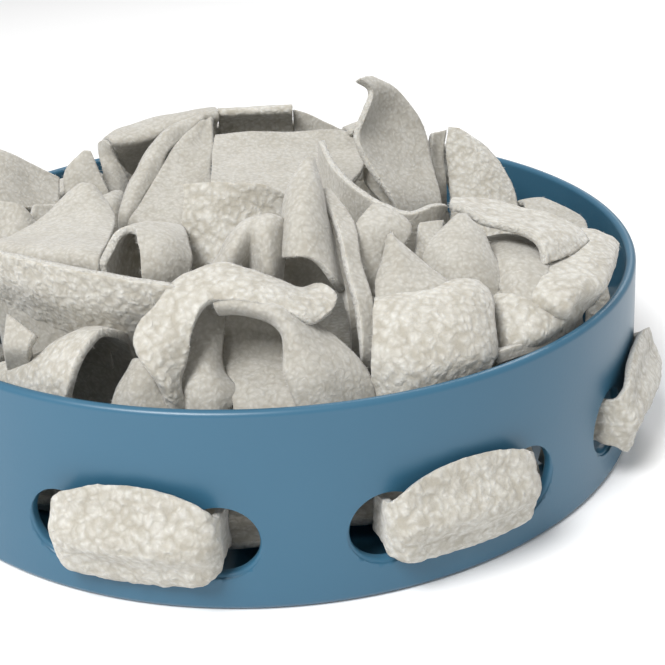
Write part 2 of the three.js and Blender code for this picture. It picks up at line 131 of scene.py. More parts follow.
# The picture's angle, its lights and its floor.
FLOOR_COLOUR = (0.93, 0.93, 0.93, 1)
LENS = 59.49
SENSOR = 36
CAMERA_PLACE = (0, -0.4043, 0.2170)
CAMERA_RIGHT = (0.9968, -0.0748, -0.0275)
CAMERA_FORWARD = (0.0554, 0.8989, -0.4347)
LIGHT_TARGET = (0, 0, 0.05)
WHITE = (1, 1, 1, 1)
WORLD_STRENGTH = 0.52


def piece_of(shape, name):
    """An object at the origin, made of a finished bmesh."""
    mesh = bpy.data.meshes.new(name)
    shape.to_mesh(mesh)
    shape.free()
    piece = bpy.data.objects.new(name, mesh)
    bpy.context.scene.collection.objects.link(piece)
    return piece


# Materials


def node(tree, kind, **inputs):
    made = tree.nodes.new(kind)
    for name, value in inputs.items():
        made.inputs[name.replace("_", " ")].default_value = value
    return made


def wool_group():
    """Curly or napped wool: tufts, finer fibres on them, a soft mottle, and painted shade in the gaps
    between the tufts.
    """
    tree = bpy.data.node_groups.new("wool", "ShaderNodeTree")
    face = tree.interface
    for name in ("Colour", "Mottle And Painted Shade Colour"):
        face.new_socket(name, in_out="INPUT", socket_type="NodeSocketColor")
    for name in ("Tuft Scale", "Tuft Depth", "Fibre Scale", "Fibre Depth"):
        face.new_socket(name, in_out="INPUT", socket_type="NodeSocketFloat")
    face.new_socket("Colour", in_out="OUTPUT", socket_type="NodeSocketColor")
    face.new_socket("Normal", in_out="OUTPUT", socket_type="NodeSocketVector")
    link = tree.links.new
    given = tree.nodes.new("NodeGroupInput").outputs
    place = tree.nodes.new("ShaderNodeTexCoord")

    bend = node(tree, "ShaderNodeTexNoise", Scale=BEND_SCALE, Detail=2.0)
    link(place.outputs["Object"], bend.inputs["Vector"])
    bent = tree.nodes.new("ShaderNodeMixRGB")
    bent.blend_type = "LINEAR_LIGHT"
    bent.inputs["Fac"].default_value = BEND
    link(place.outputs["Object"], bent.inputs["Color1"])
    link(bend.outputs["Color"], bent.inputs["Color2"])

    tufts = tree.nodes.new("ShaderNodeTexVoronoi")
    tufts.feature = "SMOOTH_F1"
    tufts.inputs["Smoothness"].default_value = TUFT_SMOOTHNESS
    link(bent.outputs["Color"], tufts.inputs["Vector"])
    link(given["Tuft Scale"], tufts.inputs["Scale"])
    fibres = node(tree, "ShaderNodeTexNoise", Detail=4.0, Roughness=0.7)
    link(bent.outputs["Color"], fibres.inputs["Vector"])
    link(given["Fibre Scale"], fibres.inputs["Scale"])
    mottle = node(tree, "ShaderNodeTexNoise", Scale=MOTTLE_SCALE, Detail=3.0, Roughness=0.6)
    link(place.outputs["Object"], mottle.inputs["Vector"])

    high = tree.nodes.new("ShaderNodeMath")
    high.operation = "SUBTRACT"
    high.inputs[0].default_value = 1.0
    link(tufts.outputs["Distance"], high.inputs[1])
    tuft_bump = node(tree, "ShaderNodeBump", Strength=1.0)
    link(given["Tuft Depth"], tuft_bump.inputs["Distance"])
    link(high.outputs["Value"], tuft_bump.inputs["Height"])
    fibre_bump = node(tree, "ShaderNodeBump", Strength=1.0)
    link(given["Fibre Depth"], fibre_bump.inputs["Distance"])
    link(fibres.outputs["Fac"], fibre_bump.inputs["Height"])
    link(tuft_bump.outputs["Normal"], fibre_bump.inputs["Normal"])

    # The colour moves towards the darker tone in the gaps between tufts, which is painted shade, and at
    # random with the fibres and the mottle.
    shade = tree.nodes.new("ShaderNodeMath")
    shade.operation = "MULTIPLY_ADD"
    link(fibres.outputs["Fac"], shade.inputs[0])
    shade.inputs[1].default_value = FIBRE_SHADE
    link(tufts.outputs["Distance"], shade.inputs[2])
    mottle_and_painted_shade_amount = tree.nodes.new("ShaderNodeMath")
    mottle_and_painted_shade_amount.operation = "MULTIPLY_ADD"
    link(mottle.outputs["Fac"], mottle_and_painted_shade_amount.inputs[0])
    mottle_and_painted_shade_amount.inputs[1].default_value = MOTTLE_SHADE
    link(shade.outputs["Value"], mottle_and_painted_shade_amount.inputs[2])
    ramp = node(tree, "ShaderNodeMapRange", From_Min=SHADE_RANGE[0], From_Max=SHADE_RANGE[1])
    link(mottle_and_painted_shade_amount.outputs["Value"], ramp.inputs["Value"])
    colour = tree.nodes.new("ShaderNodeMixRGB")
    link(ramp.outputs["Result"], colour.inputs["Fac"])
    link(given["Colour"], colour.inputs["Color1"])
    link(given["Mottle And Painted Shade Colour"], colour.inputs["Color2"])

    out = tree.nodes.new("NodeGroupOutput")
    link(colour.outputs["Color"], out.inputs["Colour"])
    link(fibre_bump.outputs["Normal"], out.inputs["Normal"])
    return tree


def finish_of(name, roughness, **extra):
    material = bpy.data.materials.new(name)
    material.use_nodes = True
    shader = material.node_tree.nodes["Principled BSDF"]
    shader.inputs["Roughness"].default_value = roughness
    for socket, value in extra.items():
        shader.inputs[socket.replace("_", " ")].default_value = value
    return material, shader


def fleece_finish(name, wool, colour, mottle_and_painted_shade, tuft_scale, tuft_depth, fibre_scale, fibre_depth):
    material, shader = finish_of(
        name, 0.95, Specular_IOR_Level=0.1, Sheen_Weight=0.35, Sheen_Roughness=0.5,
        Subsurface_Weight=0.25, Subsurface_Scale=0.0015, Subsurface_Radius=(1.0, 0.85, 0.65),
    )
    tree = material.node_tree
    pile = tree.nodes.new("ShaderNodeGroup")
    pile.node_tree = wool
    # The second colour is the darker tone: a random mottle, and painted shade in the gaps between tufts.
    given = {
        "Colour": (*colour, 1), "Mottle And Painted Shade Colour": (*mottle_and_painted_shade, 1), "Tuft Scale": tuft_scale,
        "Tuft Depth": tuft_depth, "Fibre Scale": fibre_scale, "Fibre Depth": fibre_depth,
    }
    for socket, value in given.items():
        pile.inputs[socket].default_value = value
    tree.links.new(pile.outputs["Colour"], shader.inputs["Base Color"])
    tree.links.new(pile.outputs["Normal"], shader.inputs["Normal"])
    return material


def plastic_finish():
    """Moulded plastic: satin, a little uneven in colour and gloss, with a fine grain."""
    material, shader = finish_of("blue plastic", 0.3, Specular_IOR_Level=0.5)
    tree = material.node_tree
    link = tree.links.new
    place = tree.nodes.new("ShaderNodeTexCoord")
    patches = node(tree, "ShaderNodeTexNoise", Scale=PATCH_SCALE, Detail=3.0, Roughness=0.55)
    link(place.outputs["Object"], patches.inputs["Vector"])
    colour = tree.nodes.new("ShaderNodeMixRGB")
    colour.inputs["Color1"].default_value = DEEP_BLUE
    colour.inputs["Color2"].default_value = LIGHT_BLUE
    link(patches.outputs["Fac"], colour.inputs["Fac"])
    link(colour.outputs["Color"], shader.inputs["Base Color"])
    grain = node(tree, "ShaderNodeTexNoise", Scale=GRAIN_SCALE, Detail=2.0)
    link(place.outputs["Object"], grain.inputs["Vector"])
    rough = node(tree, "ShaderNodeMapRange", To_Min=SATIN_RANGE[0], To_Max=SATIN_RANGE[1])
    link(patches.outputs["Fac"], rough.inputs["Value"])
    link(rough.outputs["Result"], shader.inputs["Roughness"])
    bump = node(tree, "ShaderNodeBump", Strength=0.25, Distance=GRAIN_DEPTH)
    link(grain.outputs["Fac"], bump.inputs["Height"])
    link(bump.outputs["Normal"], shader.inputs["Normal"])
    return material


wool = wool_group()
# Each fleece's second colour is its darker tone. It is used for a random mottle and for painted shade in
# the gaps between its tufts.
curly_face = fleece_finish(
    "curly fleece", wool, colour=(0.61, 0.598, 0.555), mottle_and_painted_shade=(0.40, 0.375, 0.32),
    tuft_scale=480.0, tuft_depth=0.0006, fibre_scale=1500.0, fibre_depth=0.0002,
)
napped_face = fleece_finish(
    "napped fleece", wool, colour=(0.50, 0.485, 0.445), mottle_and_painted_shade=(0.365, 0.345, 0.30),
    tuft_scale=700.0, tuft_depth=0.0002, fibre_scale=1700.0, fibre_depth=0.00015,
)
cut_edge = fleece_finish(
    "cut fleece edge", wool, colour=(0.64, 0.63, 0.59), mottle_and_painted_shade=(0.50, 0.48, 0.43),
    tuft_scale=900.0, tuft_depth=0.0005, fibre_scale=2200.0, fibre_depth=0.0004,
)
plastic = plastic_finish()


# Bowl


def wall_radius(height):
    return FOOT_RADIUS + (RIM_RADIUS - FOOT_RADIUS) * height / BOWL_HEIGHT


def arc(centre, radius, first, last, steps):
    turns = [math.radians(first + (last - first) * i / steps) for i in range(steps + 1)]
    return [(centre[0] + radius * math.cos(t), centre[1] + radius * math.sin(t)) for t in turns]


def bowl_profile():
    """(radius, height) from the underside's middle, up the outside and down the inside."""
    lip_height = BOWL_HEIGHT - LIP_RADIUS
    lip_middle = wall_radius(lip_height) - LIP_RADIUS
    inside_foot = wall_radius(FLOOR + INSIDE_ROUND) - WALL
    foot = (FOOT_RADIUS - FOOT_ROUND - FOOT_TAPER, FOOT_ROUND)
    outside = [(wall_radius(height), height) for height in range(6, 62, 4)]
    inside = [(wall_radius(height) - WALL, height) for height in range(58, 10, -6)]
    return [
        (0, 0), (70, 0), (130, 0),
        *arc(foot, FOOT_ROUND, -90, 0, 5),
        *outside,
        *arc((lip_middle, lip_height), LIP_RADIUS, 0, 180, 10),
        *inside,
        *arc((inside_foot - INSIDE_ROUND, FLOOR + INSIDE_ROUND), INSIDE_ROUND, 0, -90, 6),
        (70, FLOOR), (0, FLOOR),
    ]


def turned(name, profile, axis, steps):
    """A closed solid turned from a profile of (radius, height) in millimetres."""
    shape = bmesh.new()
    across = Vector((1, 0, 0)) if axis == "Z" else Vector((0, 0, 1))
    along = Vector((0, 0, 1)) if axis == "Z" else Vector((1, 0, 0))
    points = [shape.verts.new((across * r + along * h) * MM) for r, h in profile]
    edges = [shape.edges.new(pair) for pair in zip(points, points[1:])]
    bmesh.ops.spin(
        shape, geom=points + edges, cent=(0, 0, 0), axis=along, angle=math.tau, steps=steps,
        use_merge=True,
    )
    bmesh.ops.remove_doubles(shape, verts=shape.verts, dist=1e-6)
    bmesh.ops.recalc_face_normals(shape, faces=shape.faces)
    return piece_of(shape, name)


def hole_cutter():
    """A plug along +X, flared at both faces of the wall and bent to follow its curve."""
    outer = wall_radius(HOLE_HEIGHT)
    inner = outer - WALL
    round_in = [(HOLE_RADIUS + HOLE_ROUND * (1 - math.sin(math.radians(t))),
                 inner + HOLE_ROUND * (1 - math.cos(math.radians(t)))) for t in (0, 22, 45, 67, 90)]
    round_out = [(r, outer + inner - h) for r, h in reversed(round_in)]
    wide = HOLE_RADIUS + HOLE_ROUND
    profile = [(0, inner - PLUG_REACH), (wide, inner - PLUG_REACH), *round_in, *round_out,
               (wide, outer + PLUG_REACH), (0, outer + PLUG_REACH)]
    cutter = turned("hole cutter", profile, "X", HOLE_STEPS)
    for v in cutter.data.vertices:
        v.co.x -= (outer - math.sqrt(outer ** 2 - (v.co.y / MM) ** 2)) * MM
    return cutter


def evaluated_copy(piece, name):
    """Replaces a piece by a copy with its modifiers applied."""
    seen = piece.evaluated_get(bpy.context.evaluated_depsgraph_get())
    mesh = bpy.data.meshes.new_from_object(seen)
    made = bpy.data.objects.new(name, mesh)
    bpy.context.scene.collection.objects.link(made)
    bpy.data.objects.remove(piece)
    return made


def make_bowl():
    blank = turned("bowl blank", bowl_profile(), "Z", BOWL_STEPS)
    cutter = hole_cutter()
    plugs = bmesh.new()
    for index in range(HOLE_COUNT):
        heading = math.radians(FIRST_HOLE + index * HOLE_PITCH - 90)
        first = len(plugs.verts)
        plugs.from_mesh(cutter.data)
        plugs.verts.ensure_lookup_table()
        place = Matrix.Translation((0, 0, HOLE_HEIGHT * MM)) @ Matrix.Rotation(heading, 4, "Z")
        bmesh.ops.transform(plugs, matrix=place, verts=plugs.verts[first:])
    plugs.to_mesh(cutter.data)
    plugs.free()
    cut = blank.modifiers.new("holes", "BOOLEAN")
    cut.operation = "DIFFERENCE"
    cut.solver = "EXACT"
    cut.object = cutter
    bpy.context.view_layer.update()
    bowl = evaluated_copy(blank, "bowl_shell")
    bpy.data.objects.remove(cutter)
    bowl.data.shade_smooth()
    bowl.data.materials.clear()
    bowl.data.materials.append(plastic)
    weighted = bowl.modifiers.new("normals", "WEIGHTED_NORMAL")
    weighted.mode = "FACE_AREA"
    weighted.weight = 90
    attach(bowl, "root")
    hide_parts("bowl_floor", "bowl_wall")
    return bowl


make_bowl()


# Fleece


def smooth_curve(values, spans):
    """A curve through the values. A long span never pulls further than its short neighbour."""
    chords = [(b - a) / span for a, b, span in zip(values, values[1:], spans)]
    slopes = [chords[0]]
    for i in range(1, len(spans)):
        before, after = spans[i - 1], spans[i]
        slopes.append((chords[i - 1] * after + chords[i] * before) / (before + after))
    slopes.append(chords[-1])

    def at(i, t):
        before = spans[i - 1] if i > 0 else spans[i]
        after = spans[i + 1] if i + 1 < len(spans) else spans[i]
        rise = values[i + 1] - values[i]
        leaving = slopes[i] * min(spans[i], PULL * before)
        arriving = slopes[i + 1] * min(spans[i], PULL * after)
        return (
            values[i]
            + leaving * t
            + (rise * 3 - leaving * 2 - arriving) * t ** 2
            + (leaving + arriving - rise * 2) * t ** 3
        )

    return at


def across_of(turn, tip):
    """The direction across a strip, turned about the upright and tipped up, in degrees."""
    turn, tip = math.radians(turn), math.radians(tip)
    return Vector((math.cos(tip) * math.cos(turn), math.cos(tip) * math.sin(turn), math.sin(tip)))


def full_row(row, columns):
    """A row by its columns' names. Columns that it leaves out are 0."""
    return dict(zip(columns, (*row, *(0 for _ in columns[len(row):]))))


def places_along(spans, step, root_step):
    """(span, part of it) for each section. The last span, which stands hidden, may get few."""
    places = []
    for i, span in enumerate(spans):
        fine = root_step if i == len(spans) - 1 and root_step else step
        count = max(1, round(span / fine))
        places += [(i, n / count) for n in range(count)]
    return [*places, (len(spans) - 1, 1.0)]


def normals_of(grid):
    rows, sides = len(grid), len(grid[0])
    return [
        [
            (grid[min(i + 1, rows - 1)][j] - grid[max(i - 1, 0)][j])
            .cross(grid[i][min(j + 1, sides - 1)] - grid[i][max(j - 1, 0)])
            .normalized()
            for j in range(sides)
        ]
        for i in range(rows)
    ]


def ruffled(point, normal, height):
    """Moves a point off a plain surface, as unevenly as cut fleece lies."""
    slow = noise.noise(point * SLOW_RUFFLE)
    quick = noise.noise(point * QUICK_RUFFLE + Vector(QUICK_START))
    return point + normal * (slow * height + quick * height * QUICK_SHARE)


def sheet_grid(rows, columns, step, cells, root_step, ruffle):
    """Points on the middle surface of a strip, a row of them for each section."""
    rows = [full_row(row, columns) for row in rows]
    centres = [Vector((row["x"], row["y"], row["z"])) * MM for row in rows]
    spans = [(b - a).length for a, b in zip(centres, centres[1:])]
    half = [across_of(row["turn"], row["tip"]) * row["width"] * MM / 2 for row in rows]
    left = smooth_curve([c - h for c, h in zip(centres, half)], spans)
    right = smooth_curve([c + h for c, h in zip(centres, half)], spans)
    bow = smooth_curve([row["bow"] * MM for row in rows], spans)
    pleat = smooth_curve([row.get("pleat", 0) * MM for row in rows], spans)
    places = places_along(spans, step, root_step)
    sides = [2 * j / cells - 1 for j in range(cells + 1)]
    flat = [[left(*p).lerp(right(*p), (side + 1) / 2) for side in sides] for p in places]
    normals = normals_of(flat)
    grid = []
    for section, facing, place in zip(flat, normals, places):
        line = []
        for point, normal, side in zip(section, facing, sides):
            ridges = (1 - math.cos(PLEATS * math.pi * side)) / 2
            lift = bow(*place) * (1 - side * side) - pleat(*place) * ridges
            line.append(ruffled(point + normal * lift, normal, ruffle * MM))
        grid.append(line)
    return grid, sum(spans), sum(h.length for h in half) * 2 / len(half)


def mean(values):
    return sum(values) / len(values)


def net_grid(net, step, ruffle):
    """Points on the middle surface of a sheet, from a net of a few points in rows."""
    rows = [[Vector(point) * MM for point in row] for row in net]
    across = [mean([(row[j + 1] - row[j]).length for row in rows]) for j in range(len(rows[0]) - 1)]
    along = [mean([(b - a).length for a, b in zip(*pair)]) for pair in zip(rows, rows[1:])]
    places = places_along(across, step, None)
    wide = []
    for row in rows:
        curve = smooth_curve(row, across)
        wide.append([curve(*place) for place in places])
    curves = smooth_lines(wide, along)
    flat = [curves(*place) for place in places_along(along, step, None)]
    normals = normals_of(flat)
    grid = [
        [ruffled(point, normal, ruffle * MM) for point, normal in zip(line, facing)]
        for line, facing in zip(flat, normals)
    ]
    return grid, sum(along), sum(across)


def smooth_lines(lines, spans):
    """The curve that each place of a line follows from line to line."""
    curves = [smooth_curve([line[j] for line in lines], spans) for j in range(len(lines[0]))]
    return lambda i, t: [curve(i, t) for curve in curves]


def sheet_from_grid(name, grid, curly_up):
    """A bmesh grid laid over the points. Its face is its curly side."""
    if curly_up:
        grid = [list(reversed(line)) for line in grid]
    along, across = len(grid), len(grid[0])
    shape = bmesh.new()
    bmesh.ops.create_grid(
        shape, x_segments=across - 1, y_segments=along - 1, size=1, calc_uvs=True
    )
    shape.verts.ensure_lookup_table()
    places = sorted(shape.verts, key=lambda v: (round(v.co.y, 6), round(v.co.x, 6)))
    for v, point in zip(places, (point for line in grid for point in line)):
        v.co = point
    return piece_of(shape, name)


def tuft_texture(name, size):
    texture = bpy.data.textures.new(name, "CLOUDS")
    texture.noise_scale = size * MM
    texture.noise_depth = 1
    return texture


curl_texture = tuft_texture("curls", CURL_SIZE)
nap_texture = tuft_texture("nap", NAP_SIZE)


def thicken(piece, curl_height):
    """Gives a sheet its thickness, its cut edges and the pile of both sides."""
    piece.vertex_groups.new(name="smooth side")
    solid = piece.modifiers.new("thickness", "SOLIDIFY")
    solid.thickness = FLEECE * MM
    solid.offset = 0
    solid.material_offset = 1
    solid.material_offset_rim = 2
    solid.shell_vertex_group = "smooth side"
    solid.edge_crease_inner = solid.edge_crease_outer = EDGE_CRISPNESS
    solid.edge_crease_rim = EDGE_CRISPNESS
    smooth = piece.modifiers.new("soft edges", "SUBSURF")
    smooth.levels = smooth.render_levels = SMOOTH_LEVELS
    curls = piece.modifiers.new("curls", "DISPLACE")
    curls.texture = curl_texture
    curls.texture_coords = "LOCAL"
    curls.strength = curl_height * MM
    curls.mid_level = PILE_MIDDLE
    curls.vertex_group = "smooth side"
    curls.invert_vertex_group = True
    nap = piece.modifiers.new("nap", "DISPLACE")
    nap.texture = nap_texture
    nap.texture_coords = "LOCAL"
    nap.strength = NAP_HEIGHT * MM
    nap.mid_level = PILE_MIDDLE
    for material in (curly_face, napped_face, cut_edge):
        piece.data.materials.append(material)
    piece.data.shade_smooth()


fringe = bmesh.new()
chance = random.Random(SEED)


def add_fibre(edge, root, lean, long):
    """A fibre of a cut edge: a thin closed spike."""
    turn = lean.to_track_quat("Z", "Y").to_matrix().to_4x4()
    place = Matrix.Translation(root + lean * (long / 2)) @ turn
    bmesh.ops.create_cone(
        edge, cap_ends=True, segments=3, radius1=FIBRE_RADIUS * MM, radius2=0, depth=long, matrix=place
    )


def add_fringe(grid):
    """Loose fibres that stand out from a sheet's cut edges."""
    normals = normals_of(grid)
    last_row, last = len(grid) - 1, len(grid[0]) - 1
    sides = ((0, 1), (last, last - 1))
    ends = ((0, 1), (last_row, last_row - 1))
    edges = [[(i, j, i, inner) for i in range(last_row + 1)] for j, inner in sides]
    edges += [[(i, j, inner, j) for j in range(last + 1)] for i, inner in ends]
    for edge in edges:
        fibres = bmesh.new()
        for (i, j, k, m), (i2, j2, *_) in zip(edge, edge[1:]):
            span = grid[i2][j2] - grid[i][j]
            if grid[i][j].z < FRINGE_LOWEST * MM:
                continue
            outward = (grid[i][j] - grid[k][m]).normalized()
            for _ in range(round(span.length / (FIBRE_GAP * MM))):
                side = chance.uniform(-1, 1)
                root = grid[i][j] + span * chance.random() + normals[i][j] * (side * FLEECE / 2 * MM)
                stray = side * FIBRE_SPLAY + chance.uniform(-FIBRE_STRAY, FIBRE_STRAY)
                lean = outward + normals[i][j] * stray
                lean += span.normalized() * chance.uniform(-FIBRE_SLANT, FIBRE_SLANT)
                long = chance.uniform(*FIBRE_LENGTH) * MM
                add_fibre(fibres, root - outward * FIBRE_ROOT * MM, lean.normalized(), long)
        mesh = bpy.data.meshes.new("fibres")
        fibres.to_mesh(mesh)
        fibres.free()
        fringe.from_mesh(mesh)
        bpy.data.meshes.remove(mesh)


def fleece_piece(name, grid, curly_up, curl_height=CURL_HEIGHT):
    add_fringe(grid)
    piece = sheet_from_grid(name, grid, curly_up)
    thicken(piece, curl_height)
    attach(piece, "root")
    return piece


# Loops

LOOP_COLUMNS = ("x", "y", "z", "width", "turn", "tip", "bow", "pleat")
HALF_LOOP = (
    (23.0, -130.0, 23.8, 15, 90, 90, 0, 0),
    (24.0, -138.2, 24.6, 16, 90, 90, 0, 0),
    (24.6, -143.0, 25.4, 18, 90, 88, 1, 0),
    (22.0, -145.4, 26.2, 24, 90, LOOP_LEAN, 3.5, 1),
    (12.0, -144.9, 26.6, 30, 90, LOOP_LEAN, 6.5, 2.6),
    (0.0, -144.6, 26.8, 32, 90, LOOP_LEAN, 7.5, 2.6),
)
LOOP_DIFFERENCES = (
    # length, width, lift
    (1.0, 1.0, 0),
    (1.0, 0.94, 0.6),
    (1.1, 1.0, -0.8),
    (1.04, 0.95, 0.5),
    (1.0, 1.0, -0.4),
    (1.07, 1.03, 0.6),
    (1.02, 0.97, 0),
    (1.06, 1.0, -0.5),
    (1.0, 0.95, 0.4),
)


def loop_rows(length, width, lift):
    """A whole loop's rows, from hole to hole. The rows inside a hole keep their size."""
    half = []
    for x, y, z, wide, turn, tip, bow, pleat in HALF_LOOP:
        in_hole = wide < 2 * HOLE_RADIUS
        half.append((
            x * length, y, z if in_hole else z + lift, wide if in_hole else wide * width,
            turn, tip, bow, pleat,
        ))
    mirrored = [(-row[0], *row[1:]) for row in half[:-1]]
    return mirrored + half[::-1]


def make_loop(index):
    rows = loop_rows(*LOOP_DIFFERENCES[index])
    grid, length, width = sheet_grid(rows, LOOP_COLUMNS, LOOP_STEP * MM, LOOP_CELLS, None, LOOP_RUFFLE)
    turn = Matrix.Rotation(math.radians(FIRST_LOOP + index * LOOP_PITCH), 4, "Z")
    grid = [[turn @ point for point in line] for line in grid]
    name = f"fleece_loop_{index + 1}"
    piece = fleece_piece(name, grid, True, LOOP_CURL_HEIGHT)
    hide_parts(f"loop_{index + 1}")


for index in range(LOOP_COUNT):
    make_loop(index)


# Heap

STRIP_COLUMNS = ("x", "y", "z", "width", "turn", "tip", "bow")
CURLY_UP = {
    "front_twist", "front_roll", "front_square", "left_band", "middle_spike", "right_leaf",
    "back_arch", "right_panel", "right_pad", "middle_panel",
}
SHOWN_ALONE = {"back_arch_side"}
